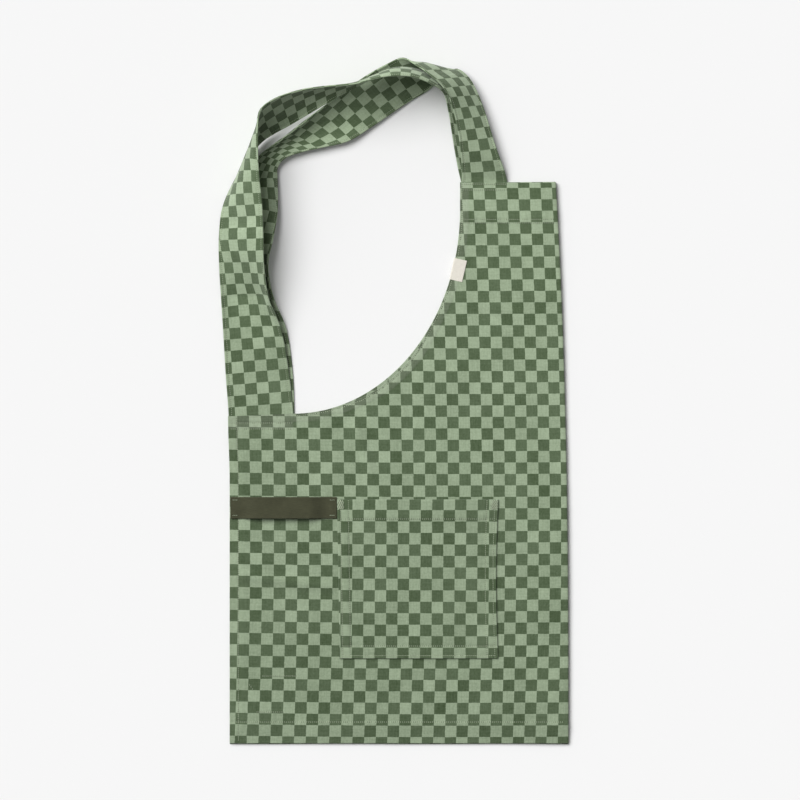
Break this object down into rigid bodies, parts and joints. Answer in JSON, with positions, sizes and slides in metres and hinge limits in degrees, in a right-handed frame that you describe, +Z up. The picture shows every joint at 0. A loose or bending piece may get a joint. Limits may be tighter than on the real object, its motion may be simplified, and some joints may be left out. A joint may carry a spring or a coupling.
{
  "type": "smock apron",
  "caption": "Cross-back smock apron in check cloth, folded in half and laid flat, with crossed shoulder straps, a patch pocket, a webbing towel loop and a bare edge tab.",
  "frame": {"origin": "middle of the folded smock's footprint, on the surface that it lies on", "axes": "+X from the open back edges towards the centre-front fold, +Y from hem to bib, +Z up out of the front"},
  "size_m": [0.525, 1.0276, 0.0767],
  "materials": {
    "check_cloth": "plain-woven cotton in two greens, checked, matte",
    "webbing": "dark olive cotton webbing, matte",
    "tab_cloth": "cream woven tape, matte"
  },
  "bodies": {
    "root": {"body": "check_cloth", "upper_strap": "check_cloth", "lower_strap": "check_cloth", "pocket": "check_cloth", "towel_loop": "webbing", "label": "tab_cloth"}
  },
  "joints": []
}
